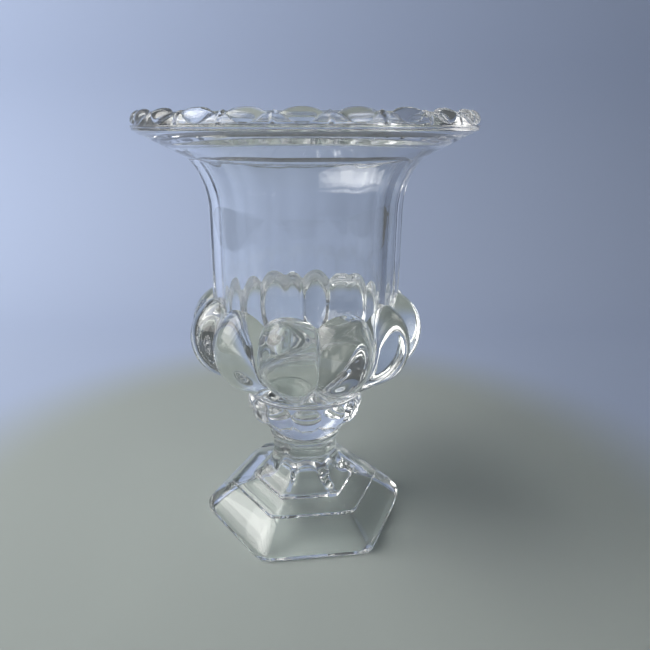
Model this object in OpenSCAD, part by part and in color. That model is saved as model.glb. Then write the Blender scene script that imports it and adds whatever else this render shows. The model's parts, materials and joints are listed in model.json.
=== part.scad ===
// Cut crystal vase on a six-sided stepped foot, mouth upward, all lengths in millimetres.
// Five pieces of clear glass stand on one axis. Each was worked hot and joined to the next
// on a face they share, so every joint below is one plane or one form used by both pieces.
// The front of the vase, toward -Y, is the middle of a foot side and a hollow between petals.

/* [Foot and stem] */

// Width of the six-sided foot across its flats
foot_flats = 103; // [98:1:112]
// Width of the foot across its softened corners
foot_corners = 117; // [114:0.5:118]
// Height of the upright edge of the foot
foot_edge = 5; // [3:0.5:7]
// Rise of the sloping shoulder above the upright edge
foot_shoulder = 12; // [10:0.5:14]
// Swell of the sloping shoulder past a straight slope
foot_swell = 1.3; // [0.6:0.1:2.4]
// Width of the lower tier across its flats
lower_tier_flats = 77; // [70:1:80]
// Width of the upper tier across its flats
upper_tier_flats = 54; // [48:1:60]
// Height of the small upright step at each tier
tier_step = 1.5; // [0.8:0.1:2.5]
// Fall of the sloping ledge between the two tiers
tier_fall = 2; // [1:0.5:4]
// Width of the six-sided stem across its flats
stem_flats = 33.5; // [30:0.5:36]
// Radius of the hollow sweep from the stem down to the upper tier
stem_sweep = 18; // [14:0.5:24]
// Height of the foot and stem together
foot_height = 49; // [45:1:60]
// Width of the six-sided hollow under the foot across its flats
hollow_flats = 92; // [80:1:94]
// Height of the low dome of the hollow
hollow_dome = 19; // [14:0.5:20]
// Height of the round tip of the hollow inside the stem
hollow_height = 32; // [28:0.5:34]
// Radius of the tip of the hollow
hollow_tip = 11; // [8:0.5:11.5]

/* [Wafer] */

// Diameter of the wafer between stem and knop
wafer_diameter = 40.6; // [39:0.2:44]
// Thickness of the wafer
wafer_height = 4; // [3:0.5:6]

/* [Knop] */

// Diameter of the ledge on top of the knop
knop_diameter = 66; // [63:1:72]
// Height of the knop
knop_height = 27; // [25:0.5:32]
// Thickness of the ledge on top of the knop
knop_ledge = 2.4; // [1.5:0.1:4]
// Number of drops round the knop
knop_drops = 12; // [8:1:14]
// Radius of each drop
knop_drop_radius = 9.2; // [8.4:0.2:10]
// Turn of the knop about the axis, as it was set by hand
knop_turn = -5; // [-15:1:15]

/* [Calyx] */

// Number of petals round the calyx
petals = 12; // [10:1:14]
// Radius of the round shoulder of each petal
petal_radius = 23; // [21:0.5:25]
// Distance from the axis to the crest of a petal
petal_reach = 63; // [60:0.5:66]
// Height of a petal's widest level above the bottom of the calyx
petal_rise = 33.5; // [31:0.5:37]
// Lean of a petal away from the axis, in degrees
petal_lean = 26.6; // [22:0.2:30]
// Half angle of the taper at the foot of a petal, in degrees
petal_taper = 30; // [27:0.5:34]
// Glass under the bowl in the bottom of the calyx
calyx_floor = 6; // [4:0.5:9]

/* [Bowl] */

// Height from the bottom of the bowl to the widest level of its rim
bowl_height = 132; // [122:1:145]
// Diameter of the bowl over the softened corners between panels
bowl_diameter = 100; // [98:0.5:103]
// Depth of the shallow panels below the round of the bowl
panel_depth = 0.5; // [0.3:0.1:0.7]
// Number of shallow panels, an even number
panels = 12; // [8:2:16]
// Thickness of the bowl wall at a corner
wall = 6.5; // [5:0.25:7.5]
// Radius of the hollow curve of the flare
flare_radius = 38; // [35:0.5:40]
// Height of the flare, from its start to the widest level of the rim
flare_height = 40; // [39.5:0.25:42]
// Radius added to that curve on the panels, so that they run out on the flare
panel_ease = 1; // [0:0.25:1]
// Radius of the round bottom of the bowl
bottom_radius = 34; // [28:0.5:38]
// Thickness of the bowl's floor
bowl_floor = 5; // [3.5:0.25:7]

/* [Rim] */

// Diameter of the rim
rim_diameter = 168; // [164:1:172]
// Number of beads round the rim
rim_beads = 24; // [18:2:30]
// Radius of a bead at its middle
rim_bead_radius = 7; // [6.2:0.1:7.4]
// Radius where two beads meet
rim_bead_waist = 4.5; // [3.8:0.1:5.4]
// Width of the fine cut between two beads
rim_bead_gap = 0.6; // [0.3:0.1:1.2]
// Overhang of the beads past the lip below them
rim_overhang = 0.6; // [0.4:0.1:1.2]

/* [Hidden] */

$fn = 96;

// Levels of the joints, from the table up
wafer_z = foot_height;
knop_z = wafer_z + wafer_height;
calyx_z = knop_z + knop_height;
bowl_z = calyx_z + calyx_floor;
rim_z = bowl_z + bowl_height;

// Half widths and levels that the foot's section uses
foot_a = foot_flats / 2;
lower_a = lower_tier_flats / 2;
upper_a = upper_tier_flats / 2;
stem_a = stem_flats / 2;
shoulder_z = foot_edge + foot_shoulder;
lower_z = shoulder_z + tier_step;
ledge_z = lower_z + tier_fall;
upper_z = ledge_z + tier_step;
sweep_x = stem_a + stem_sweep;
sweep_z = upper_z + sqrt(pow(stem_sweep, 2) - pow(sweep_x - upper_a, 2));

// Arc of the foot's sloping shoulder, which ends a little outside the lower tier
shoulder_run = foot_a - lower_a - 0.6;
shoulder_chord = norm([shoulder_run, foot_shoulder]);
shoulder_arc = (pow(shoulder_chord / 2, 2) + pow(foot_swell, 2)) / (2 * foot_swell);
shoulder_in = (shoulder_arc - foot_swell) / shoulder_chord;

// Arcs of the hollow under the foot: a low dome and a round tip inside the stem
hollow_a = hollow_flats / 2;
dome_r = (pow(hollow_a, 2) + pow(hollow_dome, 2)) / (2 * hollow_dome);
tip_z = hollow_height - hollow_tip;

// Radii and levels that the bowl's sections use
bowl_r = bowl_diameter / 2;
panel_a = bowl_r - panel_depth;
panel_curve = flare_radius + panel_ease;
rim_r = rim_diameter / 2;
inner_r = bowl_r - wall;
flare_z = rim_z - flare_height;
panel_z = bowl_z + bottom_radius;
wheel_z = flare_z - 1;
core_r = petal_reach - petal_radius - 13;
bead_ring_r = rim_r - rim_bead_radius;
bottom_inner = bottom_radius - bowl_floor;

// Arc of a bead's long side, from waist to middle to waist
bead_half = bead_ring_r * tan(180 / rim_beads);
bead_rise = rim_bead_radius - rim_bead_waist;
bead_arc = (pow(bead_half, 2) + pow(bead_rise, 2)) / (2 * bead_rise);

// Copies of a child at even steps round the axis
module ring(count, first = 0) {
  for (i = [0:count - 1])
    rotate(first + i * 360 / count)
      children();
}

// Upright slice of one step of a ring, centred on +X and narrowed by a gap
module slice(count, reach, low, high, gap = 0) {
  slope = tan(180 / count);
  translate([0, 0, low])
    linear_extrude(high - low)
      polygon([
        [gap / 2 / slope, 0],
        [reach, gap / 2 - reach * slope],
        [reach, reach * slope - gap / 2]
      ]);
}

// Straight bar with the given section, standing upright with its flat sides toward -X and +X
module bar(length) {
  rotate([90, 0, 0])
    linear_extrude(length, center = true)
      children();
}

// Corner that is cut from one side of the foot's section, down to the arc of its shoulder
module shoulder_cut() {
  difference() {
    translate([lower_a - 2, foot_edge - 2])
      square(2 * foot_shoulder + shoulder_run);
    translate([
      foot_a - shoulder_run / 2 - shoulder_in * foot_shoulder,
      foot_edge + foot_shoulder / 2 - shoulder_in * shoulder_run
    ])
      circle(shoulder_arc);
  }
}

// Section of the foot from side to side, stepped twice and swept up into the stem
module foot_section() {
  difference() {
    union() {
      difference() {
        translate([-foot_a, 0])
          square([foot_flats, shoulder_z]);
        shoulder_cut();
        mirror([1, 0])
          shoulder_cut();
      }
      polygon([
        [-lower_a, foot_edge],
        [lower_a, foot_edge],
        [lower_a, lower_z],
        [upper_a, ledge_z],
        [upper_a, upper_z],
        [stem_a, sweep_z],
        [stem_a, foot_height],
        [-stem_a, foot_height],
        [-stem_a, sweep_z],
        [-upper_a, upper_z],
        [-upper_a, ledge_z],
        [-lower_a, lower_z]
      ]);
    }
    for (s = [-1, 1])
      translate([s * sweep_x, sweep_z])
        circle(stem_sweep);
  }
}

// Section of the low dome of the hollow under the foot, open below and flat under its tip
module dome_section() {
  intersection() {
    translate([0, hollow_dome - dome_r])
      circle(dome_r);
    translate([-foot_a, -1])
      square([foot_flats, hollow_dome - 2]);
  }
}

// Round tip of the hollow, widening down into its dome
module hollow_point() {
  rotate_extrude() {
    polygon([
      [0, hollow_dome - 6],
      [1.7 * hollow_tip, hollow_dome - 6],
      [0.82 * hollow_tip, tip_z + 0.3 * hollow_tip],
      [0, tip_z + 0.3 * hollow_tip]
    ]);
    translate([0, tip_z])
      intersection() {
        circle(hollow_tip);
        translate([0, -hollow_tip])
          square([hollow_tip, 2 * hollow_tip]);
      }
  }
}

// Six-sided form: three crossing bars that share the given section
module six_sided() {
  intersection_for (turn = [30, 90, 150])
    rotate(turn)
      bar(3 * foot_flats)
        children();
}

// Stepped foot with its hollow-sided stem, pressed hollow from below
module foot() {
  color([0.90, 0.93, 0.93, 0.5])
    difference() {
      intersection() {
        six_sided()
          foot_section();
        cylinder(h = foot_height, d = foot_corners);
      }
      six_sided()
        dome_section();
      hollow_point();
    }
}

// Thin round disc that joins the knop to the stem
module wafer() {
  edge = wafer_height / 2;
  color([0.88, 0.92, 0.94, 0.5])
    translate([0, 0, wafer_z])
      rotate_extrude() {
        square([wafer_diameter / 2 - edge, wafer_height]);
        translate([wafer_diameter / 2 - edge, edge])
          intersection() {
            circle(edge);
            translate([0, -edge])
              square([edge, 2 * edge]);
          }
      }
}

// Section of the round core on top of the knop, hollowed to take the round bottom of the bowl
module core_section() {
  difference() {
    translate([0, calyx_z])
      square([core_r, calyx_floor + bottom_radius / 3]);
    bottom_section();
  }
}

// Cup-shaped collar with a ring of hanging drops under a plain ledge, and a core inside the calyx
module knop() {
  cup_h = knop_height - knop_ledge;
  cup_r = knop_diameter / 2 - 4;
  low_r = wafer_diameter / 2;
  curve = (pow(cup_h, 2) + pow(cup_r - low_r, 2)) / (2 * (cup_r - low_r));
  drop_r = knop_diameter / 2 - 0.4 - knop_drop_radius;
  color([0.90, 0.93, 0.95, 0.5]) {
    rotate_extrude() {
      core_section();
      translate([0, knop_z])
        difference() {
          union() {
            square([cup_r, cup_h]);
            translate([0, cup_h])
              square([knop_diameter / 2, knop_ledge]);
          }
          difference() {
            square([cup_r, cup_h]);
            translate([cup_r - curve, cup_h])
              circle(curve);
          }
        }
    }
    ring(knop_drops, knop_turn - 90)
      translate([drop_r, 0, calyx_z - knop_ledge - knop_drop_radius + 1.2])
        sphere(knop_drop_radius);
  }
}

// One petal: a round shoulder that runs straight into a long point below, upright on its own axis
module petal_form() {
  point = petal_radius / sin(petal_taper);
  touch_x = petal_radius * cos(petal_taper);
  touch_z = -petal_radius * sin(petal_taper);
  rotate_extrude() {
    polygon([[0, touch_z], [0, -point], [touch_x, touch_z]]);
    difference() {
      circle(petal_radius);
      translate([-2 * petal_radius, -2 * petal_radius])
        square([2 * petal_radius, 4 * petal_radius]);
      translate([-2 * petal_radius, -2 * petal_radius])
        square([4 * petal_radius, 2 * petal_radius + touch_z]);
    }
  }
}

// Ring of petals gathered over the lower part of the bowl, each arched where it meets a panel
module calyx() {
  top = calyx_z + petal_rise + 2 * petal_radius;
  color([0.88, 0.91, 0.90, 0.5])
    difference() {
      ring(petals, 180 / petals - 90)
        intersection() {
          slice(petals, 2 * petal_reach, calyx_z, top);
          translate([petal_reach - petal_radius, 0, calyx_z + petal_rise])
            rotate([0, petal_lean, 0])
              petal_form();
        }
      bowl_form();
      translate([0, 0, calyx_z - 1])
        cylinder(h = calyx_floor + bottom_radius / 3 + 1, r = core_r);
    }
}

// Section of the round bottom of the bowl, from the axis out
module bottom_section() {
  translate([0, bowl_z])
    square([bowl_r - bottom_radius, bottom_radius]);
  translate([bowl_r - bottom_radius, bowl_z + bottom_radius])
    intersection() {
      circle(bottom_radius);
      translate([0, -bottom_radius])
        square(bottom_radius);
    }
}

// Cut of one shallow panel on the straight part of the bowl
module panel_cut() {
  translate([panel_a, -rim_r / 2, panel_z])
    cube([rim_r - panel_a, rim_r, wheel_z - panel_z]);
}

// Cut of the wheel that carries a panel out on the flare until it runs out
module wheel_cut() {
  translate([panel_a + panel_curve, 0, wheel_z])
    rotate([90, 0, 0])
      cylinder(h = rim_r, r = panel_curve, center = true);
}

// Outside of the bowl as one filled form: a round trumpet dressed with shallow panels that run out on
// the flare. The bowl is cut from it and the calyx is fitted to it.
module bowl_form() {
  difference() {
    rotate_extrude() {
      bottom_section();
      translate([0, panel_z])
        square([bowl_r, rim_z - panel_z]);
      difference() {
        translate([0, flare_z])
          square([rim_r - rim_overhang, flare_height]);
        translate([bowl_r + flare_radius, flare_z])
          circle(flare_radius);
      }
    }
    ring(panels)
      wheel_cut();
    ring(panels)
      panel_cut();
  }
}

// Room inside the bowl, from its round floor out over the flare
module cavity() {
  rotate_extrude() {
    translate([0, bowl_z + bowl_floor])
      square([inner_r - bottom_inner, bottom_inner]);
    translate([inner_r - bottom_inner, panel_z])
      intersection() {
        circle(bottom_inner);
        translate([0, -bottom_inner])
          square([bottom_inner, bottom_inner]);
      }
    translate([0, panel_z])
      square([inner_r, flare_z - panel_z]);
    difference() {
      translate([0, flare_z])
        square([rim_r, flare_height + 0.4]);
      translate([bowl_r + flare_radius, flare_z])
        circle(flare_radius + wall);
    }
  }
}

// One bead of the rim, a barrel lying along the rim and cut to its share of the ring
module rim_bead() {
  intersection() {
    slice(rim_beads, 1.2 * rim_r, rim_z - 0.5, rim_z + 2 * rim_bead_radius, rim_bead_gap);
    translate([bead_ring_r, 0, rim_z])
      rotate([90, 0, 0])
        rotate_extrude()
          intersection() {
            translate([rim_bead_radius - bead_arc, 0])
              circle(bead_arc);
            translate([0, -1.3 * bead_half])
              square([rim_bead_radius, 2.6 * bead_half]);
          }
  }
}

// Panelled trumpet bowl with a flared mouth and a beaded rim
module bowl() {
  color([0.92, 0.94, 0.96, 0.5]) {
    difference() {
      bowl_form();
      cavity();
    }
    ring(rim_beads, 180 / rim_beads)
      rim_bead();
  }
}

foot();
wafer();
knop();
calyx();
bowl();
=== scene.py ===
"""Clear crystal vase: five pieces of pressed and cut glass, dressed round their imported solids.

Lengths in the classes are millimetres and angles are degrees, unless a name says otherwise. An azimuth
is in radians and runs from the front of the vase, toward -Y, round by +X. Every piece is spun from its
section as a round blank and then pressed to its panels, petals, drops or sides, as such glass is worked.
"""

import json
import logging
import math
from dataclasses import dataclass, field
from enum import Enum
from typing import Callable, ClassVar

import bmesh
import bpy
from mathutils import Matrix, Vector

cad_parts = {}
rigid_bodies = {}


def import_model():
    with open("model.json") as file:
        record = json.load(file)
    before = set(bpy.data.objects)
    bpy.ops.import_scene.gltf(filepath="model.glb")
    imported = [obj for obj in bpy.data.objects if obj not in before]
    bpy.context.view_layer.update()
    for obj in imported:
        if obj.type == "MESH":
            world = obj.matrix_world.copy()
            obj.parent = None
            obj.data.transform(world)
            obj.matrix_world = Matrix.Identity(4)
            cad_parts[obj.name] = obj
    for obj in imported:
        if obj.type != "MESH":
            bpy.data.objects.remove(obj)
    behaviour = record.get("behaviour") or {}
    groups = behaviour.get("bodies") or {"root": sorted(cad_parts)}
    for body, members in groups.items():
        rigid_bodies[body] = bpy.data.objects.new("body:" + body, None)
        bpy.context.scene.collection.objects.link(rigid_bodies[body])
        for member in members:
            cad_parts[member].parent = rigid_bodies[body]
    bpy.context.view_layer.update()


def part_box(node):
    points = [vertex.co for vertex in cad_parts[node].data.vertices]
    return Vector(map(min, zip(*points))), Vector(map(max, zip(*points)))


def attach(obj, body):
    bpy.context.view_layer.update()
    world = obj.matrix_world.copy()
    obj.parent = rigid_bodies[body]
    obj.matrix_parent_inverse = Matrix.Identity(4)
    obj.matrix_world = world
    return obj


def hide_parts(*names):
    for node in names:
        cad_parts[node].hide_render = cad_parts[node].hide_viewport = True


MM = 0.001
WELD_GAP = 5e-7
OVAL_FULLNESS = 0.55
LOG = logging.getLogger("crystal_vase")

Point = tuple[float, float]
Section = Callable[[float], Point]
Place = Callable[[float, float], Point]
Spot = tuple[float, float, float]
Colour = tuple[float, float, float]
Value = float | tuple[float, float, float, float]


def mix(start: float, end: float, share: float) -> float:
    """Returns the value at a share of the way from start to end."""
    return start + (end - start) * share


def ease(share: float) -> float:
    """Returns a share held between 0 and 1 and eased at both ends."""
    held = min(1.0, max(0.0, share))
    return held * held * (3.0 - 2.0 * held)


def soft_max(first: float, second: float, width: float) -> float:
    """Returns the larger of two lengths, with the corner between them rounded over a width."""
    return 0.5 * (first + second + math.hypot(first - second, width))


def fold(azimuth: float, count: int, first: float) -> float:
    """Finds the angle from the nearest of several even places round the axis.

    Args:
        azimuth: Azimuth of the point, in radians.
        count: Number of even places.
        first: Azimuth of one of them, in radians.

    Returns:
        The signed angle from the nearest place, in radians.
    """
    pitch = math.tau / count
    return (azimuth - first + pitch / 2) % pitch - pitch / 2


def sided_radius(apothem: float, azimuth: float, sides: int, crispness: float) -> float:
    """Finds the radius of an even polygon whose corners are softened. The middle of a side is in front.

    Args:
        apothem: Distance from the axis to a side.
        azimuth: Azimuth of the point, in radians.
        sides: Number of sides.
        crispness: Power of the blend at a corner: higher is sharper.

    Returns:
        The radius at that azimuth.
    """
    off = abs(fold(azimuth, sides, 0.0))
    near = apothem / math.cos(off)
    far = apothem / math.cos(math.tau / sides - off)
    return near * (1.0 + (near / far) ** crispness) ** (-1.0 / crispness)


def arc_point(centre: Point, radius: float, angle: float) -> Point:
    """Returns the point of an arc in a section, at an angle in degrees above the outward direction."""
    turn = math.radians(angle)
    return centre[0] + radius * math.cos(turn), centre[1] + radius * math.sin(turn)


def spin_round(
    form: bmesh.types.BMesh,
    section: list[bmesh.types.BMVert | bmesh.types.BMEdge],
    columns: int,
    shares: int,
) -> None:
    """Spins a section once round the axis: one share is spun, and copies of it close the ring.

    Args:
        form: Mesh that holds the section.
        section: Vertices and edges of the section.
        columns: Number of steps in the whole turn.
        shares: Number of equal shares that the turn is made in.
    """
    middle, axis, pitch = (0.0, 0.0, 0.0), (0.0, 0.0, 1.0), math.tau / shares
    bmesh.ops.spin(
        form, geom=section, cent=middle, axis=axis, dvec=middle,
        angle=pitch, steps=columns // shares, use_merge=False,
    )
    share = list(form.verts) + list(form.edges) + list(form.faces)
    for place in range(1, shares):
        copy = bmesh.ops.duplicate(form, geom=share)["geom"]
        moved = [item for item in copy if isinstance(item, bmesh.types.BMVert)]
        bmesh.ops.rotate(form, cent=middle, matrix=Matrix.Rotation(place * pitch, 3, "Z"), verts=moved)
    bmesh.ops.remove_doubles(form, verts=form.verts, dist=WELD_GAP)


def add_object(name: str, data: bpy.types.ID) -> bpy.types.Object:
    """Returns a new object of the scene that shows some data."""
    made = bpy.data.objects.new(name, data)
    bpy.context.scene.collection.objects.link(made)
    return made


def add_mesh(name: str, form: bmesh.types.BMesh) -> bpy.types.Object:
    """Returns a mesh in work as an object of the scene, and frees the mesh in work."""
    data = bpy.data.meshes.new(name)
    form.to_mesh(data)
    form.free()
    return add_object(name, data)


class Skin(Enum):
    """What a stretch of surface is. Its value is the material's place on the mesh."""

    CRYSTAL = 0
    JOINT = 1

    def bands(self, *runs: tuple[int, Place]) -> list["Band"]:
        """Returns bands with this skin, each from its number of steps and its place."""
        return [Band(rows, self, place) for rows, place in runs]


@dataclass(frozen=True)
class Band:
    """A stretch of a piece's section, from one line on the glass to the next.

    Attributes:
        rows: Number of steps along the band.
        skin: Open crystal, or the face of a hot joint inside the glass.
        place: Gives the radius and height at a share along the band and an azimuth.
    """

    rows: int
    skin: Skin
    place: Place


@dataclass(frozen=True)
class Blank:
    """A piece in work.

    Attributes:
        form: Its mesh.
        stations: Rows of its section, each as a band and a share along that band.
        row_of: Layer that keeps each vertex's row.
    """

    form: bmesh.types.BMesh
    stations: list[tuple[Band, float]]
    row_of: bmesh.types.BMLayerItem


@dataclass(frozen=True)
class Levels:
    """Heights that the pieces share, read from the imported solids."""

    wafer: float
    knop: float
    calyx: float
    bowl: float
    top: float

    @classmethod
    def from_frame(cls) -> "Levels":
        """Returns the levels of the joints and of the rim's top."""
        return cls(
            wafer=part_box("foot")[1].z / MM,
            knop=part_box("wafer")[1].z / MM,
            calyx=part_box("calyx")[0].z / MM,
            bowl=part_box("bowl")[0].z / MM,
            top=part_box("bowl")[1].z / MM,
        )


class GlassPiece:
    """A piece of the vase, spun from its section and pressed to its form."""

    node: ClassVar[str]
    slot: ClassVar[str]
    columns: ClassVar[int] = 384
    shares: ClassVar[int] = 12
    ring_shaped: ClassVar[bool] = False
    sharp_angle: ClassVar[float] = 38.0

    def bands(self) -> list[Band]:
        """Returns the bands of the section in order, with the glass on one hand all the way."""
        raise NotImplementedError

    def column_azimuth(self, azimuth: float) -> float:
        """Returns the azimuth that a column of the blank is moved to."""
        return azimuth

    def stations(self) -> list[tuple[Band, float]]:
        """Returns each row of the section as its band and its share along that band."""
        bands = self.bands()
        rows = [(band, step / band.rows) for band in bands for step in range(band.rows)]
        if not self.ring_shaped:
            rows.append((bands[-1], 1.0))
        return rows

    def build(self) -> bpy.types.Object:
        """Spins the blank, presses it and returns it as an object at the origin."""
        form = bmesh.new()
        blank = Blank(form, self.stations(), form.verts.layers.int.new("row"))
        self.spin_blank(blank)
        self.press(blank)
        self.mark_skins(blank)
        bmesh.ops.recalc_face_normals(form, faces=form.faces)
        self.mark_sharp_edges(form)
        form.verts.layers.int.remove(blank.row_of)
        return add_mesh(f"{self.node}_glass", form)

    def spin_blank(self, blank: Blank) -> None:
        """Draws the section in front of the axis and spins it round."""
        section = []
        for row, (band, share) in enumerate(blank.stations):
            radius, height = band.place(share, 0.0)
            vertex = blank.form.verts.new((0.0, -radius * MM, height * MM))
            vertex[blank.row_of] = row
            section.append(vertex)
        ends = section[1:] + section[:1] if self.ring_shaped else section[1:]
        edges = [blank.form.edges.new(pair) for pair in zip(section, ends)]
        spin_round(blank.form, section + edges, self.columns, self.shares)

    def press(self, blank: Blank) -> None:
        """Moves every vertex of the blank to the pressed form."""
        for vertex in blank.form.verts:
            band, share = blank.stations[vertex[blank.row_of]]
            azimuth = self.column_azimuth(math.atan2(vertex.co.x, -vertex.co.y))
            radius, height = band.place(share, azimuth)
            across, along = radius * math.sin(azimuth), -radius * math.cos(azimuth)
            vertex.co = Vector((across, along, height)) * MM

    def mark_skins(self, blank: Blank) -> None:
        """Gives each face the material place of the band that it lies in."""
        last = len(blank.stations) - 1
        for face in blank.form.faces:
            rows = [vertex[blank.row_of] for vertex in face.verts]
            closing = self.ring_shaped and min(rows) == 0 and max(rows) == last
            band, _ = blank.stations[last if closing else min(rows)]
            face.material_index = band.skin.value
            face.smooth = True

    def mark_sharp_edges(self, form: bmesh.types.BMesh) -> None:
        """Keeps the shading apart at joint lines and at edges that turn sharply."""
        limit = math.radians(self.sharp_angle)
        for edge in form.edges:
            if len(edge.link_faces) == 2:
                first, second = edge.link_faces
                joint_line = first.material_index != second.material_index
                edge.smooth = not (joint_line or edge.calc_face_angle() > limit)

    def dress(
        self, piece: bpy.types.Object, crystal: bpy.types.Material, joint: bpy.types.Material
    ) -> None:
        """Gives the piece its two materials and puts it in place of its solid.

        Args:
            piece: Object that build() made.
            crystal: Material of the open glass.
            joint: Material of the faces inside the joined glass.
        """
        piece.data.materials.append(crystal)
        piece.data.materials.append(joint)
        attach(piece, "root")
        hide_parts(self.node)


@dataclass
class Bowl(GlassPiece):
    """Trumpet bowl with shallow panels, a flared mouth and an egg-and-dart rim."""

    node: ClassVar[str] = "bowl"
    slot: ClassVar[str] = "bowl_crystal"
    columns: ClassVar[int] = 576

    levels: Levels
    radius: float = 50.0
    panels: int = 12
    panel_swell: float = 2.1
    panel_crease: float = 2.2
    panel_fade: float = 25.0
    wall: float = 6.5
    floor: float = 5.0
    bottom_round: float = 34.0
    flare_radius: float = 38.0
    flare_height: float = 40.0
    inside_flare: float = 48.5
    inside_turn: float = 53.0
    panel_end: float = 204.0
    panel_end_depth: float = 0.6
    panel_end_step: float = 0.3
    rim_rise: float = 7.0
    lip_radius: float = 83.3
    lip_split: float = 0.54
    lip_step: float = 0.35
    lip_inset: float = 0.8
    ring_middle: float = 76.9
    ring_radius: float = 5.1
    eggs: int = 24
    egg_half_length: float = 7.8
    egg_height: float = 2.1
    egg_middle: float = 50.0
    egg_half_angle: float = 46.0
    egg_tip: float = 0.05
    dart_half_width: float = 1.15
    dart_height: float = 0.75
    dart_middle: float = 52.0
    dart_half_angle: float = 50.0
    crease: float = 0.12
    column_crowding: float = 0.45
    arch: Callable[[float], float] = field(init=False)

    def column_azimuth(self, azimuth: float) -> float:
        """Returns the azimuth of a column, drawn toward the nearest dart, panel corner or petal crease."""
        return azimuth - self.column_crowding / self.eggs * math.sin(self.eggs * azimuth)

    @property
    def lip_level(self) -> float:
        """Level of the lip that the rim's eggs stand on."""
        return self.levels.top - self.rim_rise

    @property
    def flare_level(self) -> float:
        """Level where the straight wall starts to flare."""
        return self.lip_level - self.flare_height

    @property
    def flare_middle(self) -> Point:
        """Middle of the flare's hollow curve."""
        return self.radius + self.flare_radius, self.flare_level

    @property
    def bottom_middle(self) -> Point:
        """Middle of the round bottom's curve."""
        return self.radius - self.bottom_round, self.levels.bowl + self.bottom_round

    def round_radius(self, height: float) -> float:
        """Returns the outer radius of the round blank above the bottom."""
        rise = max(0.0, height - self.flare_level)
        return self.flare_middle[0] - math.sqrt(max(0.0, self.flare_radius**2 - rise**2))

    def wall_radius(self, height: float, azimuth: float) -> float:
        """Finds the outer radius of the panelled wall.

        Args:
            height: Level on the wall, from the bottom's curve to the end of the panels.
            azimuth: Azimuth in radians.

        Returns:
            The radius, no larger than the round blank's.
        """
        blank, half = self.round_radius(height), math.pi / self.panels
        swell = blank * self.panel_swell
        set_back = math.sqrt(swell**2 - (blank * math.sin(half)) ** 2) - blank * math.cos(half)
        from_corner = half - abs(fold(azimuth, self.panels, 0.0))
        off = half - math.hypot(from_corner, math.radians(self.panel_crease))
        panel = math.sqrt(swell**2 - (set_back * math.sin(off)) ** 2) - set_back * math.cos(off)
        climb = ease((height - self.flare_level) / (self.panel_end - self.flare_level))
        runs_out = ease((height - self.panel_end + self.panel_end_step) / self.panel_end_step)
        return mix(panel - self.panel_end_depth * climb, blank, runs_out)

    def bottom_point(self, angle: float, azimuth: float) -> Point:
        """Finds a point on the outside of the round bottom, where the wall's panels fade.

        Args:
            angle: Angle below the outward direction, in degrees.
            azimuth: Azimuth in radians.

        Returns:
            The radius and the height.
        """
        reach, height = arc_point(self.bottom_middle, self.bottom_round, -angle)
        inset = self.radius - self.wall_radius(self.bottom_middle[1], azimuth)
        return reach - inset * (1.0 - ease(angle / self.panel_fade)), height

    def rim_point(self, angle: float, azimuth: float) -> Point:
        """Finds a point on the ring of eggs and darts.

        Args:
            angle: Angle round the ring's own section, from outward, in degrees.
            azimuth: Azimuth in radians.

        Returns:
            The radius and the height.
        """
        spread, along = self.egg_spread(azimuth), self.egg_along(azimuth)
        across = (angle - self.egg_middle) / spread
        beside = self.ring_middle * fold(azimuth, self.eggs, 0.0) / self.dart_half_width
        egg = self.egg_height * math.sqrt(max(0.0, 1.0 - along**2) * max(0.0, 1.0 - across**2))
        dart = self.oval((angle - self.dart_middle) / self.dart_half_angle, beside, self.dart_height)
        raised = soft_max(egg, dart, self.crease) - self.crease / 2
        return arc_point((self.ring_middle, self.lip_level), self.ring_radius + max(0.0, raised), angle)

    def egg_along(self, azimuth: float) -> float:
        """Returns the place along the nearest egg: 1 at its points and more between two eggs."""
        return self.ring_middle * fold(azimuth, self.eggs, math.pi / self.eggs) / self.egg_half_length

    def egg_spread(self, azimuth: float) -> float:
        """Returns the half width of the egg at an azimuth, in degrees round the ring's own section."""
        return self.egg_half_angle * max(self.egg_tip, 1.0 - self.egg_along(azimuth) ** 2)

    def egg_top(self, share: float, azimuth: float) -> Point:
        """Returns a point on the ring, from its inner side up to the upper outline of the eggs."""
        return self.rim_point(mix(180.0, self.egg_middle + self.egg_spread(azimuth), share), azimuth)

    def egg_face(self, share: float, azimuth: float) -> Point:
        """Returns a point on the eggs, from their upper to their lower outline."""
        angle = self.egg_middle + self.egg_spread(azimuth) * math.cos(math.pi * share)
        return self.rim_point(angle, azimuth)

    def egg_foot(self, share: float, azimuth: float) -> Point:
        """Returns a point on the ring, from the lower outline of the eggs down to the lip."""
        return self.rim_point((self.egg_middle - self.egg_spread(azimuth)) * (1.0 - share), azimuth)

    @staticmethod
    def oval(along: float, across: float, height: float) -> float:
        """Finds the height of a pointed oval swelling.

        Args:
            along: Place along the oval, 1 at its points.
            across: Place across the oval, 1 at its widest edge.
            height: Height in the middle.

        Returns:
            The height there, and 0 outside the oval.
        """
        half = 1.0 - along * along
        if half <= 0.0 or abs(across) >= half:
            return 0.0
        return height * math.sqrt(half) * (1.0 - (across / half) ** 2) ** OVAL_FULLNESS

    def flare_inside(self, share: float, _: float) -> Point:
        """Returns a point on the inside of the flare, from the straight wall up to the rim's shelf."""
        middle = (self.radius - self.wall + self.inside_flare, self.flare_level)
        return arc_point(middle, self.inside_flare, 180.0 - self.inside_turn * share)

    def shelf(self, share: float, _: float) -> Point:
        """Returns a point on the hollow shelf between the flare and the ring."""
        start = self.flare_inside(1.0, 0.0)
        end = (self.ring_middle - self.ring_radius, self.lip_level)
        return mix(start[0], end[0], share), mix(start[1], end[1], share**2)

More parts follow.
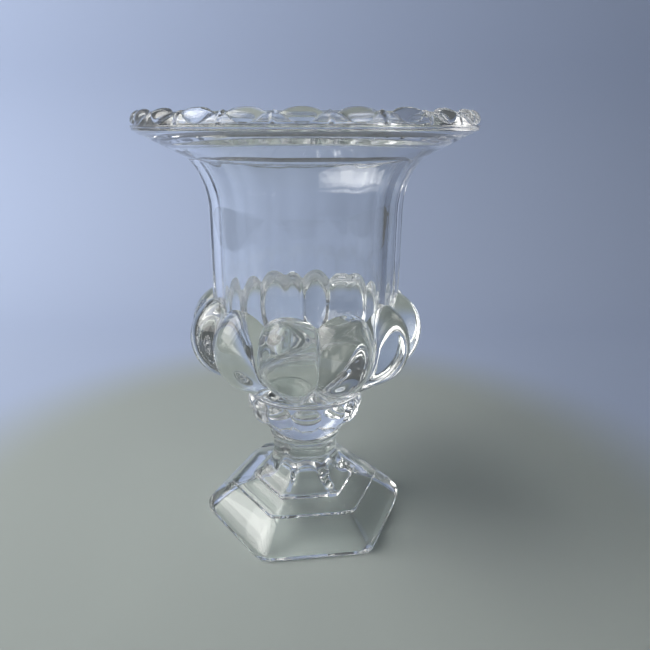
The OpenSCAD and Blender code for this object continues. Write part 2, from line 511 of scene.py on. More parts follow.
    def lip(self, share: float, _: float) -> Point:
        """Returns a point on the lip: a square-shouldered band over a narrower one."""
        low, ring = self.underside(0.0, 0.0), self.ring_middle + self.ring_radius
        split = (ring, mix(self.lip_level, low[1], self.lip_split))
        if share < 0.5:
            return self.lip_band((ring, self.lip_level), split, self.lip_radius, 2.0 * share)
        return self.lip_band(split, low, self.lip_radius - self.lip_step, 2.0 * share - 1.0)

    @staticmethod
    def lip_band(start: Point, end: Point, reach: float, share: float) -> Point:
        """Finds a point on a band that stands out squarely, with soft corners.

        Args:
            start: Radius and height of the band's upper root.
            end: Radius and height of its lower root.
            reach: Radius of its face.
            share: Share of the way from the upper to the lower root.

        Returns:
            The radius and the height.
        """
        turn = math.pi * share
        down = 0.5 - 0.5 * math.copysign(math.sqrt(abs(math.cos(turn))), math.cos(turn))
        root = mix(start[0], end[0], share)
        return mix(root, reach, math.sqrt(max(0.0, math.sin(turn)))), mix(start[1], end[1], down)

    def underside(self, share: float, _: float) -> Point:
        """Returns a point on the straight underside of the flange, from the lip in to the panels' ends."""
        reach = self.lip_radius - self.lip_inset
        rise = math.sqrt(self.flare_radius**2 - (self.flare_middle[0] - reach) ** 2)
        end = self.round_radius(self.panel_end)
        return mix(reach, end, share), mix(self.flare_level + rise, self.panel_end, share)

    def wall_point(self, height: float, azimuth: float) -> Point:
        """Returns the point of the panelled wall at a level."""
        return self.wall_radius(height, azimuth), height

    def panel_to_arch(self, share: float, azimuth: float) -> Point:
        """Returns a point on the straight wall, from the flare down to the calyx's arched edge."""
        return self.wall_point(mix(self.flare_level, self.arch(azimuth), share), azimuth)

    def pocket_wall(self, share: float, azimuth: float) -> Point:
        """Returns a point on the wall inside the calyx, from the arched edge down to the round bottom."""
        return self.wall_point(mix(self.arch(azimuth), self.bottom_middle[1], share), azimuth)

    def bands(self) -> list[Band]:
        """Returns the section from the inner floor's middle, over the rim, to the bottom's middle."""
        inner = self.radius - self.wall
        turn = self.bottom_round - self.floor
        low_middle = (inner - turn, self.bottom_middle[1])
        floor_level = low_middle[1] - turn
        panel_end, flare = self.panel_end, self.flare_level
        panel_foot = panel_end - self.panel_end_step
        return [
            *Skin.CRYSTAL.bands(
                (3, lambda share, _: (low_middle[0] * share, floor_level)),
                (16, lambda share, _: arc_point(low_middle, turn, 90.0 * (share - 1.0))),
                (3, lambda share, _: (inner, mix(low_middle[1], flare, share))),
                (20, self.flare_inside),
                (4, self.shelf),
                (12, self.egg_top),
                (20, self.egg_face),
                (5, self.egg_foot),
                (20, self.lip),
                (6, self.underside),
                (5, lambda share, azimuth: self.wall_point(mix(panel_end, panel_foot, share), azimuth)),
                (16, lambda share, azimuth: self.wall_point(mix(panel_foot, flare, share), azimuth)),
                (3, self.panel_to_arch),
            ),
            *Skin.JOINT.bands(
                (3, self.pocket_wall),
                (9, lambda share, azimuth: self.bottom_point(90.0 * share, azimuth)),
                (2, lambda share, _: (self.bottom_middle[0] * (1.0 - share), self.levels.bowl)),
            ),
        ]


@dataclass
class Calyx(GlassPiece):
    """Ring of petals gathered round the lower part of the bowl."""

    node: ClassVar[str] = "calyx"
    slot: ClassVar[str] = "calyx_crystal"
    ring_shaped: ClassVar[bool] = True

    levels: Levels
    bowl: Bowl
    petals: int = 12
    petal_radius: float = 23.0
    petal_width: float = 0.785
    petal_reach: float = 63.0
    petal_rise: float = 33.5
    petal_lean: float = 26.6
    petal_taper: float = 30.0
    core_radius: float = 27.0
    fill_radius: float = 27.5
    fill_slope: float = 0.72
    crease: float = 0.6
    crease_angle: float = 0.7

    @property
    def petal_middle(self) -> Point:
        """Middle of a petal's round shoulder, in the plane through the axis."""
        return self.petal_reach - self.petal_radius, self.levels.calyx + self.petal_rise

    @property
    def petal_point(self) -> Point:
        """Point that a petal's straight taper runs toward."""
        length = self.petal_radius / math.sin(math.radians(self.petal_taper))
        lean = math.radians(self.petal_lean)
        middle, level = self.petal_middle
        return middle - length * math.sin(lean), level - length * math.cos(lean)

    def petal_angle(self, azimuth: float) -> float:
        """Returns the angle from the nearest petal's middle, in radians, with the creases softened."""
        half = math.pi / self.petals
        width = math.radians(self.crease_angle)
        from_crease = half - abs(fold(azimuth, self.petals, half))
        return half - math.hypot(from_crease, width)

    def widening(self, off: float) -> float:
        """Returns how much faster than round a petal falls away at an angle from its middle."""
        return math.cos(off) ** 2 + (math.sin(off) / self.petal_width) ** 2

    def shoulder_section(self, azimuth: float) -> tuple[float, float, float]:
        """Returns the middle, half width and half height of the shoulder's oval at an azimuth."""
        off = self.petal_angle(azimuth)
        middle, widening = self.petal_middle[0], self.widening(off)
        tall = math.sqrt(self.petal_radius**2 - middle**2 * (1.0 - math.cos(off) ** 2 / widening))
        return middle * math.cos(off) / widening, tall / math.sqrt(widening), tall

    def arch_angle(self, azimuth: float) -> float:
        """Returns the angle on the shoulder's oval, in degrees, where it meets the bowl's wall."""
        middle, wide, _ = self.shoulder_section(azimuth)
        level = self.petal_middle[1] + self.petal_radius
        wall = self.bowl.wall_radius(level, azimuth)
        return math.degrees(math.acos((wall - middle) / wide))

    def arch_level(self, azimuth: float) -> float:
        """Returns the level where a petal's shoulder meets the bowl's wall."""
        tall = self.shoulder_section(azimuth)[2]
        return self.petal_middle[1] + tall * math.sin(math.radians(self.arch_angle(azimuth)))

    def taper_radius(self, height: float, azimuth: float) -> float:
        """Finds the outer radius of a petal below its widest level.

        Args:
            height: Level of the point.
            azimuth: Azimuth in radians.

        Returns:
            The radius of the shoulder, of the taper under it, or of the glass that fills between petals.
        """
        off = self.petal_angle(azimuth)
        lean, half = math.radians(self.petal_lean), math.radians(self.petal_taper)
        middle, level = self.petal_middle
        fill = self.fill_radius + self.fill_slope * (height - self.levels.calyx)
        centre, wide, tall = self.shoulder_section(azimuth)
        drop = level - height
        if drop < tall:
            reach = centre + wide * math.sqrt(1.0 - (drop / tall) ** 2)
            along_axis = (reach * math.cos(off) - middle) * math.sin(lean) - drop * math.cos(lean)
            if along_axis >= -self.petal_radius * math.sin(half):
                return soft_max(reach, fill, self.crease)
        return soft_max(self.cone_reach(height, off), fill, self.crease)

    def cone_reach(self, height: float, off: float) -> float:
        """Finds where the plane at an angle from a petal's middle leaves the petal's taper.

        Args:
            height: Level of the point.
            off: Angle from the petal's middle, in radians.

        Returns:
            The radius, or 0 where the taper doesn't reach that plane.
        """
        lean = math.radians(self.petal_lean)
        spread = math.cos(math.radians(self.petal_taper)) ** 2
        start, level = self.petal_point
        rise = height - level
        side, base = math.cos(off) * math.sin(lean), rise * math.cos(lean) - start * math.sin(lean)
        square = side * side - spread * self.widening(off)
        linear = 2.0 * (side * base + spread * start * math.cos(off))
        constant = base * base - spread * (start * start + rise * rise)
        inside = linear * linear - 4.0 * square * constant
        if inside <= 0.0:
            return 0.0
        root = math.sqrt(inside)
        return max((-linear - root) / (2.0 * square), (-linear + root) / (2.0 * square))

    def outline(self, azimuth: float) -> float:
        """Returns the radius of the calyx where it stands on the knop."""
        return self.taper_radius(self.levels.calyx, azimuth)

    def shoulder(self, share: float, azimuth: float) -> Point:
        """Returns a point on a petal's shoulder, from the arched edge out to the widest level."""
        middle, wide, tall = self.shoulder_section(azimuth)
        turn = math.radians(self.arch_angle(azimuth) * (1.0 - share))
        return middle + wide * math.cos(turn), self.petal_middle[1] + tall * math.sin(turn)

    def taper(self, share: float, azimuth: float) -> Point:
        """Returns a point on the lower part of a petal, from the widest level down to the knop."""
        height = mix(self.petal_middle[1], self.levels.calyx, share)
        return self.taper_radius(height, azimuth), height

    def core_angle(self) -> float:
        """Returns the angle on the bowl's round bottom where the knop's core ends, in degrees."""
        middle = self.bowl.bottom_middle[0]
        return math.degrees(math.acos((self.core_radius - middle) / self.bowl.bottom_round))

    def core_top(self) -> float:
        """Returns the level on the bowl's round bottom where the knop's core ends."""
        return self.bowl.bottom_point(self.core_angle(), 0.0)[1]

    def bands(self) -> list[Band]:
        """Returns the section from the arched edge, over a petal and the base, and up the pocket again."""
        angle, core_top = self.core_angle(), self.core_top()
        base, core = self.levels.calyx, self.core_radius
        return [
            *Skin.CRYSTAL.bands((28, self.shoulder), (40, self.taper)),
            *Skin.JOINT.bands(
                (3, lambda share, azimuth: (mix(self.outline(azimuth), core, share), base)),
                (3, lambda share, _: (core, mix(base, core_top, share))),
                (8, lambda share, azimuth: self.bowl.bottom_point(angle * (1.0 - share), azimuth)),
                (4, lambda share, azimuth: self.bowl.pocket_wall(1.0 - share, azimuth)),
            ),
        ]


@dataclass
class Knop(GlassPiece):
    """Cup-shaped collar with a ring of hanging drops under a ledge, and a core inside the calyx."""

    node: ClassVar[str] = "knop"
    slot: ClassVar[str] = "knop_crystal"

    levels: Levels
    calyx: Calyx
    wafer: "Wafer"
    low_radius: float = 20.3
    cup_radius: float = 29.0
    ledge_radius: float = 33.0
    ledge: float = 2.4
    ledge_round: float = 0.7
    drops: int = 12
    drop_radius: float = 9.2
    drop_turn: float = -5.0
    drop_overlap: float = 1.2
    drop_inset: float = 0.4
    crease: float = 0.5

    @property
    def cup_top(self) -> float:
        """Level of the underside of the ledge."""
        return self.levels.calyx - self.ledge

    def cup(self, height: float) -> float:
        """Returns the radius of the plain cup behind the drops."""
        tall, wide = self.cup_top - self.levels.knop, self.cup_radius - self.low_radius
        curve = (tall**2 + wide**2) / (2.0 * wide)
        return self.cup_radius - curve + math.sqrt(curve**2 - (self.cup_top - height) ** 2)

    def body(self, share: float, azimuth: float) -> Point:
        """Returns a point on the cup and its drops, from the wafer up to the ledge."""
        height = mix(self.levels.knop, self.cup_top, share)
        off = fold(azimuth, self.drops, math.radians(self.drop_turn))
        ring = self.ledge_radius - self.drop_inset - self.drop_radius
        rise = height - (self.cup_top - self.drop_radius + self.drop_overlap)
        inside = self.drop_radius**2 - rise**2 - (ring * math.sin(off)) ** 2
        drop = ring * math.cos(off) + math.sqrt(inside) if inside > 0.0 else 0.0
        return soft_max(self.cup(height), drop, self.crease), height

    def ledge_edge(self, share: float, azimuth: float) -> Point:
        """Returns a point on the ledge, out from the drops and round its edge to the top."""
        inner = self.body(1.0, azimuth)[0]
        outer, turn = self.ledge_radius - self.ledge_round, 180.0 * share - 90.0
        half = self.ledge / 2
        across = inner if share == 0.0 else outer + self.ledge_round * math.cos(math.radians(turn))
        return across, self.cup_top + half * (1.0 + math.sin(math.radians(turn)))

    def bands(self) -> list[Band]:
        """Returns the section from the underside's middle, out over the drops, and in over the core."""
        low, top = self.levels.knop, self.levels.calyx
        calyx, bowl = self.calyx, self.calyx.bowl
        flat, core, seat = self.wafer.flat_radius, calyx.core_radius, bowl.bottom_middle[0]
        angle, core_top = calyx.core_angle(), calyx.core_top()
        edge = self.ledge_radius - self.ledge_round
        return [
            *Skin.JOINT.bands((3, lambda share, _: (flat * share, low))),
            *Skin.CRYSTAL.bands(
                (2, lambda share, _: (mix(flat, self.low_radius, share), low)),
                (44, self.body),
                (8, self.ledge_edge),
                (2, lambda share, azimuth: (mix(edge, calyx.outline(azimuth), share), top)),
            ),
            *Skin.JOINT.bands(
                (3, lambda share, azimuth: (mix(calyx.outline(azimuth), core, share), top)),
                (3, lambda share, _: (core, mix(top, core_top, share))),
                (4, lambda share, azimuth: bowl.bottom_point(mix(angle, 90.0, share), azimuth)),
                (2, lambda share, _: (seat * (1.0 - share), self.levels.bowl)),
            ),
        ]


@dataclass
class Foot(GlassPiece):
    """Six-sided foot with two narrow tiers, swept up into its stem and pressed hollow from below."""

    node: ClassVar[str] = "foot"
    slot: ClassVar[str] = "foot_crystal"

    levels: Levels
    sides: int = 6
    edge_apothem: float = 51.4
    edge_height: float = 5.0
    edge_round: float = 0.8
    shoulder_rise: float = 12.0
    shoulder_swell: float = 1.3
    lower_apothem: float = 38.5
    upper_apothem: float = 27.0
    tier_step: float = 2.2
    tier_fall: float = 1.3
    tier_round: float = 0.7
    tier_upright: float = 0.4
    stem_apothem: float = 16.75
    sweep_radius: float = 18.0
    hollow_apothem: float = 46.0
    hollow_dome: float = 19.0
    hollow_height: float = 32.0
    hollow_tip: float = 11.0
    hollow_throat: float = 10.0
    foot_crispness: float = 30.0
    stem_crispness: float = 11.5
    axis_crispness: float = 3.0
    corner_crowding: float = 0.7

    def column_azimuth(self, azimuth: float) -> float:
        """Returns the azimuth of a column, drawn toward the nearest corner of the six sides."""
        return azimuth + self.corner_crowding / self.sides * math.sin(self.sides * azimuth)

    @property
    def shoulder_level(self) -> float:
        """Level of the top of the rounded shoulder."""
        return self.edge_height + self.shoulder_rise

    @property
    def ledge_level(self) -> float:
        """Level of the inner edge of the ledge between the tiers."""
        return self.shoulder_level + self.tier_step + self.tier_fall

    @property
    def sweep_middle(self) -> Point:
        """Middle of the hollow sweep, level with the foot of the straight stem."""
        across = self.stem_apothem + self.sweep_radius
        upper = self.ledge_level + self.tier_step
        return across, upper + math.sqrt(self.sweep_radius**2 - (across - self.upper_apothem) ** 2)

    def sided(self, apothem: float, height: float, azimuth: float) -> float:
        """Returns the radius of the six-sided section, softer at the stem and toward the axis."""
        climb = ease((height - self.ledge_level) / (self.levels.wafer - self.ledge_level))
        crispness = mix(self.foot_crispness, self.stem_crispness, math.sqrt(climb))
        crispness = min(crispness, self.axis_crispness + apothem)
        return sided_radius(apothem, azimuth, self.sides, crispness)

    def six_sided(self, section: Section) -> Place:
        """Returns the place of points whose section is given from the axis to the middle of a side."""

        def place(share: float, azimuth: float) -> Point:
            """Returns the radius and height at a share along the section."""
            apothem, height = section(share)
            return self.sided(apothem, height, azimuth), height

        return place

    @property
    def dome(self) -> tuple[float, float]:
        """Radius of the hollow's low dome, and the level of its middle on the axis."""
        radius = (self.hollow_apothem**2 + self.hollow_dome**2) / (2.0 * self.hollow_dome)
        return radius, self.hollow_dome - radius

    @property
    def tip_level(self) -> float:
        """Level of the middle of the hollow's round tip."""
        return self.hollow_height - self.hollow_tip

    @property
    def throat_middle(self) -> Point:
        """Middle of the curve that touches both the dome and the tip of the hollow."""
        radius, low = self.dome
        high = self.tip_level
        from_dome, from_tip = radius + self.hollow_throat, self.hollow_tip + self.hollow_throat
        level = (from_dome**2 - from_tip**2 + high**2 - low**2) / (2.0 * (high - low))
        return math.sqrt(from_tip**2 - (level - high) ** 2), level

    @property
    def throat_angles(self) -> tuple[float, float]:
        """Angles, in degrees, at which the curve leaves the tip and meets the dome."""
        across, level = self.throat_middle
        high, low = level - self.tip_level, level - self.dome[1]
        return math.degrees(math.atan2(high, across)), math.degrees(math.atan2(low, across))

    def tip(self, share: float) -> Point:
        """Returns the apothem and height on the hollow's tip, from the axis out."""
        return arc_point((0.0, self.tip_level), self.hollow_tip, mix(90.0, self.throat_angles[0], share))

    def throat(self, share: float) -> Point:
        """Returns the apothem and height on the curve from the hollow's tip to its dome."""
        start, end = self.throat_angles
        return arc_point(self.throat_middle, self.hollow_throat, 180.0 + mix(start, end, share))

    def under_dome(self, share: float) -> Point:
        """Returns the apothem and height on the hollow's dome, down to the ground."""
        radius, level = self.dome
        end = math.degrees(math.asin(-level / radius))
        return arc_point((0.0, level), radius, mix(self.throat_angles[1], end, share))

    def ground(self, share: float) -> Point:
        """Returns the apothem and height on the flat standing edge, from the hollow out."""
        return mix(self.hollow_apothem, self.edge_apothem - self.edge_round, share), 0.0

    def shoulder(self, share: float) -> Point:
        """Returns the apothem and height on the sloping shoulder, which swells past a straight slope."""
        run, rise = self.edge_apothem - self.lower_apothem, self.shoulder_rise
        swell = 4.0 * self.shoulder_swell * share * (1.0 - share) / math.hypot(run, rise)
        across = self.edge_apothem - run * share + swell * rise
        return across, self.edge_height + rise * share + swell * run

    def tier(self, apothem: float, base: float) -> Section:
        """Draws the section of an upright tier step with a rounded top edge.

        Args:
            apothem: Distance from the axis to the step's face.
            base: Level of the bottom of the step.

        Returns:
            The apothem and height at a share up the step and over its edge.
        """

        def section(share: float) -> Point:
            """Returns the apothem and height at a share up the step."""
            straight = self.tier_step - self.tier_round
            upright = self.tier_upright
            if share <= upright:
                return apothem, base + straight * share / upright
            angle = 90.0 * (share - upright) / (1.0 - upright)
            return arc_point((apothem - self.tier_round, base + straight), self.tier_round, angle)

        return section

    def sweep(self, share: float) -> Point:
        """Returns the apothem and height on the hollow sweep, from the upper tier to the stem."""
        middle = self.sweep_middle
        across = middle[0] - self.upper_apothem + self.tier_round
        start = math.degrees(math.acos(across / self.sweep_radius))
        return arc_point(middle, self.sweep_radius, 180.0 + start * (1.0 - share))

    def stem_outline(self, azimuth: float) -> float:
        """Returns the radius of the stem's top, where the wafer sits."""
        return self.sided(self.stem_apothem, self.levels.wafer, azimuth)

    def bands(self) -> list[Band]:
        """Returns the section from the top of the hollow, out and up over the tiers, to the stem's top."""
        edge, bevel = self.edge_apothem, self.edge_round
        lower_top, ledge = self.shoulder_level + self.tier_step, self.ledge_level
        lower_in, upper = self.lower_apothem - self.tier_round, self.upper_apothem
        stem, stem_foot, top = self.stem_apothem, self.sweep_middle[1], self.levels.wafer
        outline = self.stem_outline
        sections = [
            (12, self.tip),
            (10, self.throat),
            (14, self.under_dome),
            (2, self.ground),
            (4, lambda share: arc_point((edge - bevel, bevel), bevel, 90.0 * (share - 1.0))),
            (3, lambda share: (edge, mix(bevel, self.edge_height, share))),
            (18, self.shoulder),
            (8, self.tier(self.lower_apothem, self.shoulder_level)),
            (5, lambda share: (mix(lower_in, upper, share), mix(lower_top, ledge, share))),
            (8, self.tier(upper, ledge)),
            (26, self.sweep),
            (6, lambda share: (stem, mix(stem_foot, top, share))),
        ]
        return [
            *Skin.CRYSTAL.bands(*[(rows, self.six_sided(section)) for rows, section in sections]),
            *Skin.JOINT.bands((3, lambda share, azimuth: (outline(azimuth) * (1.0 - share), top))),
        ]


@dataclass
class Wafer(GlassPiece):
    """Thin round disc that joins the knop to the stem."""

    node: ClassVar[str] = "wafer"
    slot: ClassVar[str] = "wafer_crystal"

    levels: Levels
    foot: Foot
    flat_radius: float = 18.3

    def edge(self, share: float, _: float) -> Point:
        """Returns a point on the half-round edge, from the underside to the top."""
        half = (self.levels.knop - self.levels.wafer) / 2
        return arc_point((self.flat_radius, self.levels.wafer + half), half, 180.0 * share - 90.0)

    def bands(self) -> list[Band]:
        """Returns the section from the underside's middle, round the edge, to the top's middle."""
        low, top, flat = self.levels.wafer, self.levels.knop, self.flat_radius
        outline = self.foot.stem_outline
        return [
            *Skin.JOINT.bands((3, lambda share, azimuth: (outline(azimuth) * share, low))),
            *Skin.CRYSTAL.bands(
                (1, lambda share, azimuth: (mix(outline(azimuth), flat, share), low)),
                (16, self.edge),
            ),
            *Skin.JOINT.bands((3, lambda share, _: (flat * (1.0 - share), top))),
        ]


def fill(node: bpy.types.Node, values: dict[str, Value]) -> None:
    """Sets the values of a node's inputs, which are given by name."""
    for name, value in values.items():
        node.inputs[name].default_value = value


@dataclass(frozen=True)
class NodeGraph:
    """A shader node tree that is filled node by node."""

    tree: bpy.types.NodeTree

    def add(
        self, kind: str, values: dict[str, Value] | None = None, **settings: str | bpy.types.NodeTree
    ) -> bpy.types.Node:
        """Adds a node.

        Args:
            kind: Type of the node, after the words that all shader nodes start with.
            values: Values of its inputs.
            settings: Attributes of the node, which are set before the inputs.

        Returns:
            The node.
        """
        node = self.tree.nodes.new(f"ShaderNode{kind}")
        for name, setting in settings.items():
            setattr(node, name, setting)
        fill(node, values or {})
        return node

    def join(self, *links: tuple[bpy.types.Node, str | int, bpy.types.Node, str | int]) -> None:
        """Links nodes: each link names a node and its output, then a node and its input."""
        for source, given, target, taken in links:
            self.tree.links.new(source.outputs[given], target.inputs[taken])


def new_material(name: str) -> tuple[bpy.types.Material, NodeGraph]:
    """Returns a new material and its graph, which holds a Principled BSDF."""
    made = bpy.data.materials.new(name)
    made.use_nodes = True
    return made, NodeGraph(made.node_tree)


def new_group(name: str, inputs: dict[str, float], outputs: list[str]) -> bpy.types.ShaderNodeTree:
    """Makes an empty shader node group whose sockets are single values.

    Args:
        name: Name of the group.
        inputs: Names and default values of its inputs.
        outputs: Names of its outputs.

    Returns:
        The group, with an input and an output node.
    """
    group = bpy.data.node_groups.new(name, "ShaderNodeTree")
    for label, value in inputs.items():
        socket = group.interface.new_socket(label, in_out="INPUT", socket_type="NodeSocketFloat")
        socket.default_value = value
    for label in outputs:
        group.interface.new_socket(label, in_out="OUTPUT", socket_type="NodeSocketFloat")
    group.nodes.new("NodeGroupInput")
    group.nodes.new("NodeGroupOutput")
    return group


def cord_group() -> bpy.types.ShaderNodeTree:
    """Builds the faint cords in the glass: slow waves drawn out level, as the metal was gathered.

    Returns:
        A group that puts out a height for a bump and a mask for the tint.
    """
    group = new_group("Cords in the glass", {"Scale": 40.0, "Draw": 0.3}, ["Height", "Tint"])
    graph = NodeGraph(group)
    taken, given = group.nodes["Group Input"], group.nodes["Group Output"]
    where = graph.add("TexCoord")
    apart = graph.add("SeparateXYZ")
    drawn = graph.add("Math", operation="DIVIDE")
    joined = graph.add("CombineXYZ")
    waves = graph.add("TexNoise", {"Detail": 2.0, "Roughness": 0.4})
    clouds = graph.add("TexNoise", {"Scale": 18.0})
    graph.join(
        (where, "Object", apart, 0),
        (apart, "Z", drawn, 0),
        (taken, "Draw", drawn, 1),
        (apart, "X", joined, "X"),
        (apart, "Y", joined, "Y"),
        (drawn, 0, joined, "Z"),
        (joined, 0, waves, "Vector"),
        (taken, "Scale", waves, "Scale"),
        (where, "Object", clouds, "Vector"),
        (waves, "Fac", given, "Height"),
        (clouds, "Fac", given, "Tint"),
    )
    return group


def marks_group() -> bpy.types.ShaderNodeTree:
    """Builds the handling marks: smears of a hand and fine specks that dull the polish a little.

    Returns:
        A group that puts out the roughness of the polish.
    """
    inputs = {"Polish": 0.0, "Smear": 0.02, "Speck": 0.15, "Smear Scale": 26.0, "Speck Scale": 900.0}
    group = new_group("Handling marks", inputs, ["Roughness"])
    graph = NodeGraph(group)
    taken, given = group.nodes["Group Input"], group.nodes["Group Output"]
    where = graph.add("TexCoord")
    smears = graph.add("TexNoise", {"Detail": 3.0})
    smear_mask = graph.add("MapRange", {"From Min": 0.52, "From Max": 0.75})
    specks = graph.add("TexVoronoi")
    speck_mask = graph.add("MapRange", {"From Min": 0.09, "From Max": 0.05})
    smeared = graph.add("Math", operation="MULTIPLY_ADD")
    specked = graph.add("Math", operation="MULTIPLY_ADD")
    graph.join(
        (where, "Object", smears, "Vector"),
        (taken, "Smear Scale", smears, "Scale"),
        (smears, "Fac", smear_mask, "Value"),
        (where, "Object", specks, "Vector"),
        (taken, "Speck Scale", specks, "Scale"),
        (specks, "Distance", speck_mask, "Value"),
        (smear_mask, "Result", smeared, 0),
        (taken, "Smear", smeared, 1),
        (taken, "Polish", smeared, 2),
        (speck_mask, "Result", specked, 0),
        (taken, "Speck", specked, 1),
        (smeared, 0, specked, 2),
        (specked, 0, given, "Roughness"),
    )
    return group


@dataclass(frozen=True)
class GlassEffects:
    """The node groups that every crystal finish shares."""

    cords: bpy.types.ShaderNodeTree
    marks: bpy.types.ShaderNodeTree

    @classmethod
    def build(cls) -> "GlassEffects":
        """Returns both groups, built once."""
        return cls(cords=cord_group(), marks=marks_group())


@dataclass(frozen=True)
class CrystalFinish:
    """Clear crystal with faint cords in the metal and light marks on its polish."""

    name: str
    clear: Colour
    deep: Colour
    index: float = 1.54
    cord_scale: float = 40.0
    cord_draw: float = 0.3
    cord_strength: float = 0.06
    cord_depth: float = 0.0004
    smear: float = 0.015
    speck: float = 0.1

    def material(self, effects: GlassEffects) -> bpy.types.Material:
        """Builds the finish.

        Args:
            effects: Groups for the cords and the marks.

        Returns:
            The material.
        """
        made, graph = new_material(self.name)
        glass = graph.tree.nodes["Principled BSDF"]
        fill(glass, {"Metallic": 0.0, "IOR": self.index, "Transmission Weight": 1.0})
        cord_values = {"Scale": self.cord_scale, "Draw": self.cord_draw}
        cords = graph.add("Group", cord_values, node_tree=effects.cords)
        mark_values = {"Smear": self.smear, "Speck": self.speck}
        marks = graph.add("Group", mark_values, node_tree=effects.marks)
        tint = graph.add("Mix", {"A": (*self.clear, 1.0), "B": (*self.deep, 1.0)}, data_type="RGBA")
        bump = graph.add("Bump", {"Strength": self.cord_strength, "Distance": self.cord_depth})
        graph.join(
            (cords, "Tint", tint, "Factor"),
            (tint, "Result", glass, "Base Color"),
            (marks, "Roughness", glass, "Roughness"),
            (cords, "Height", bump, "Height"),
            (bump, "Normal", glass, "Normal"),
        )
        return made


@dataclass(frozen=True)
class JointFinish:
    """Face of a hot joint, where the glass of two pieces has become one and nothing shows."""

    name: str = "fused_joint"

    def material(self) -> bpy.types.Material:
        """Returns the material: light goes straight on."""
        made, graph = new_material(self.name)
        nodes = graph.tree.nodes
        nodes.remove(nodes["Principled BSDF"])
        through = graph.add("BsdfTransparent")
        graph.join((through, 0, nodes["Material Output"], "Surface"))
        return made


@dataclass(frozen=True)
class SweepFinish:
    """Matt studio paper, one tone under the vase and a cooler one toward the wall."""

    name: str = "studio_paper"
    near: Colour = (0.345, 0.384, 0.374)
    far: Colour = (0.385, 0.457, 0.625)
    near_radius: float = 0.19
    far_radius: float = 0.30
    roughness: float = 0.85
    gloss: float = 0.2

    def material(self) -> bpy.types.Material:
        """Returns the material, graded by the distance from the vase."""
        made, graph = new_material(self.name)
        paper = graph.tree.nodes["Principled BSDF"]
        fill(paper, {"Roughness": self.roughness, "Specular IOR Level": self.gloss})
        where = graph.add("TexCoord")
        distance = graph.add("VectorMath", operation="LENGTH")
        ends = {"From Min": self.near_radius, "From Max": self.far_radius}
        share = graph.add("MapRange", ends, interpolation_type="SMOOTHSTEP")
        tone = graph.add("Mix", {"A": (*self.near, 1.0), "B": (*self.far, 1.0)}, data_type="RGBA")
        graph.join(
            (where, "Object", distance, 0),
            (distance, "Value", share, "Value"),
            (share, "Result", tone, "Factor"),
            (tone, "Result", paper, "Base Color"),
        )
        return made


@dataclass(frozen=True)
class Softbox:
    """A large soft lamp that faces the vase. Places and sizes are in metres."""

    name: str
    place: Spot
    aim: Spot
    size: tuple[float, float]
    watts: float
    colour: Colour

    def build(self) -> None:
        """Hangs the lamp and turns it toward its aim."""
        data = bpy.data.lights.new(self.name, "AREA")
        data.shape = "RECTANGLE"
        data.size, data.size_y = self.size
        data.energy = self.watts
        data.color = self.colour
        lamp = add_object(self.name, data)
        lamp.location = self.place
        lamp.rotation_euler = (Vector(self.aim) - Vector(self.place)).to_track_quat("-Z", "Y").to_euler()


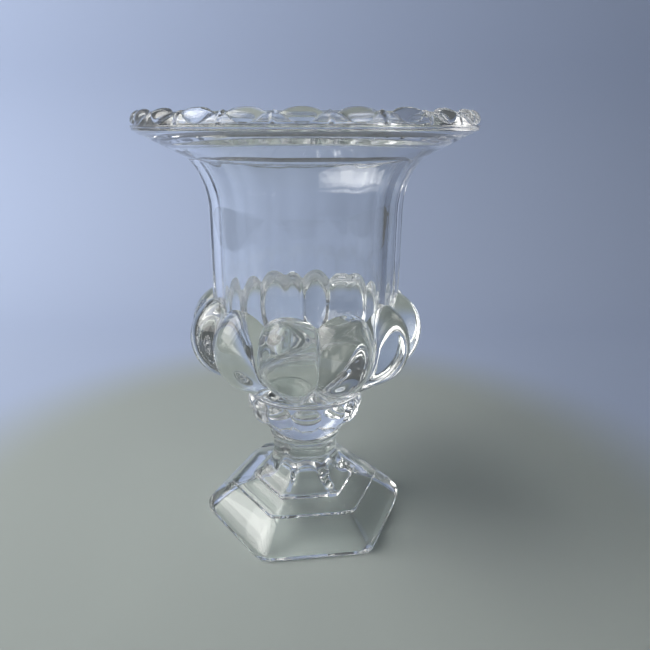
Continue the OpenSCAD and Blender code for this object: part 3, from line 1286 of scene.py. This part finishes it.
@dataclass(frozen=True)
class Studio:
    """Plain sweep, soft lamps, dim room and the camera. Places and sizes are in metres."""

    floor_gap: float = 0.0003
    floor_front: float = -0.90
    wall_place: float = 0.62
    sweep_radius: float = 0.30
    sweep_left: float = -0.8
    sweep_right: float = 0.75
    sweep_turn: float = 8.0
    wall_height: float = 0.44
    sweep_rows: int = 16
    world_colour: Colour = (0.86, 0.91, 0.95)
    world_strength: float = 0.12
    camera_place: Spot = (-0.0354, -0.3016, 0.2180)
    camera_tilt: float = 71.05
    camera_turn: float = -6.7
    camera_sensor: float = 36.0
    camera_lens: float = 32.27
    camera_shift: float = 0.0307
    light_bounces: int = 32

    def softboxes(self) -> list[Softbox]:
        """Returns the lamps: a high key, a side lamp and a lamp for the wall, all on the left."""
        white = (1.0, 0.98, 0.95)
        return [
            Softbox("key_softbox", (-0.95, -0.10, 0.85), (0.0, 0.0, 0.1), (1.25, 1.25), 11.5, white),
            Softbox("side_softbox", (-1.00, -0.40, 0.75), (0.0, -0.25, 0.10), (1.3, 0.8), 5.0, white),
            Softbox("wall_softbox", (-0.90, 0.25, 0.85), (-0.25, 0.62, 0.20), (1.0, 0.7), 5.5, white),
        ]

    def build_sweep(self) -> None:
        """Lays the paper sweep: a level floor that curves up into a wall behind the vase."""
        form = bmesh.new()
        low, turn = -self.floor_gap, self.sweep_radius
        corner = (self.wall_place - turn, low + turn)
        angles = [90.0 * step / self.sweep_rows - 90.0 for step in range(self.sweep_rows + 1)]
        points = [(self.floor_front, low), *[arc_point(corner, turn, angle) for angle in angles]]
        points.append((self.wall_place, self.wall_height))
        line = [form.verts.new((self.sweep_left, along, height)) for along, height in points]
        edges = [form.edges.new(pair) for pair in zip(line, line[1:])]
        drawn = bmesh.ops.extrude_edge_only(form, edges=edges)["geom"]
        moved = [item for item in drawn if isinstance(item, bmesh.types.BMVert)]
        bmesh.ops.translate(form, verts=moved, vec=(self.sweep_right - self.sweep_left, 0.0, 0.0))
        turned = Matrix.Rotation(math.radians(-self.sweep_turn), 3, "Z")
        bmesh.ops.rotate(form, cent=(0.0, 0.0, 0.0), matrix=turned, verts=form.verts)
        bmesh.ops.recalc_face_normals(form, faces=form.faces)
        for face in form.faces:
            face.smooth = True
        sweep = add_mesh("studio_sweep", form)
        sweep.data.materials.append(SweepFinish().material())

    def build_world(self) -> None:
        """Sets the dim even light of the room."""
        world = bpy.data.worlds.new("studio_room")
        world.use_nodes = True
        room = world.node_tree.nodes["Background"]
        room.inputs["Color"].default_value = (*self.world_colour, 1.0)
        room.inputs["Strength"].default_value = self.world_strength
        bpy.context.scene.world = world

    def build_camera(self) -> None:
        """Sets the scene's camera at the photograph's viewing angle."""
        data = bpy.data.cameras.new("photo_camera")
        data.sensor_width = self.camera_sensor
        data.lens = self.camera_lens
        data.shift_x = self.camera_shift
        camera = add_object("photo_camera", data)
        camera.location = self.camera_place
        camera.rotation_euler = (math.radians(self.camera_tilt), 0.0, math.radians(self.camera_turn))
        bpy.context.scene.camera = camera

    def set_light_paths(self) -> None:
        """Lets light go through every wall of the stacked glass and fall on the paper beyond it."""
        scene = bpy.context.scene
        scene.view_settings.view_transform = "Standard"
        paths = scene.cycles
        paths.max_bounces = self.light_bounces
        paths.diffuse_bounces = self.light_bounces // 4
        paths.transmission_bounces = self.light_bounces
        paths.glossy_bounces = self.light_bounces // 2
        paths.transparent_max_bounces = self.light_bounces
        paths.caustics_reflective = paths.caustics_refractive = True
        paths.blur_glossy = paths.sample_clamp_indirect = 0.0

    def build(self) -> None:
        """Builds everything round the vase."""
        self.build_sweep()
        self.build_world()
        self.build_camera()
        for softbox in self.softboxes():
            softbox.build()
        self.set_light_paths()


FINISHES: dict[str, CrystalFinish] = {
    "foot": CrystalFinish("foot_crystal", (0.975, 0.985, 0.98), (0.955, 0.972, 0.965)),
    "wafer": CrystalFinish("wafer_crystal", (0.975, 0.985, 0.985), (0.96, 0.975, 0.975)),
    "knop": CrystalFinish("knop_crystal", (0.975, 0.985, 0.985), (0.96, 0.975, 0.975)),
    # The calyx crystal is tinted darker and greener than the other pieces: painted shade that darkens the
    # petals.
    "calyx": CrystalFinish("calyx_crystal", (0.87, 0.898, 0.877), (0.83, 0.858, 0.833)),
    "bowl": CrystalFinish("bowl_crystal", (0.98, 0.987, 0.985), (0.965, 0.977, 0.975)),
}


def clear_scene() -> None:
    """Removes whatever a new scene starts with."""
    for item in list(bpy.data.objects):
        bpy.data.objects.remove(item)


def main() -> None:
    """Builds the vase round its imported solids, and the studio round the vase."""
    logging.basicConfig(level=logging.INFO, format="%(name)s: %(message)s")
    clear_scene()
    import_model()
    levels = Levels.from_frame()
    bowl = Bowl(levels)
    calyx = Calyx(levels, bowl)
    bowl.arch = calyx.arch_level
    foot = Foot(levels)
    wafer = Wafer(levels, foot)
    effects = GlassEffects.build()
    joint = JointFinish().material()
    for part in (foot, wafer, Knop(levels, calyx, wafer), calyx, bowl):
        piece = part.build()
        part.dress(piece, FINISHES[part.node].material(effects), joint)
        LOG.info("%s: %d faces", piece.name, len(piece.data.polygons))
    Studio().build()


if __name__ == "__main__":
    main()
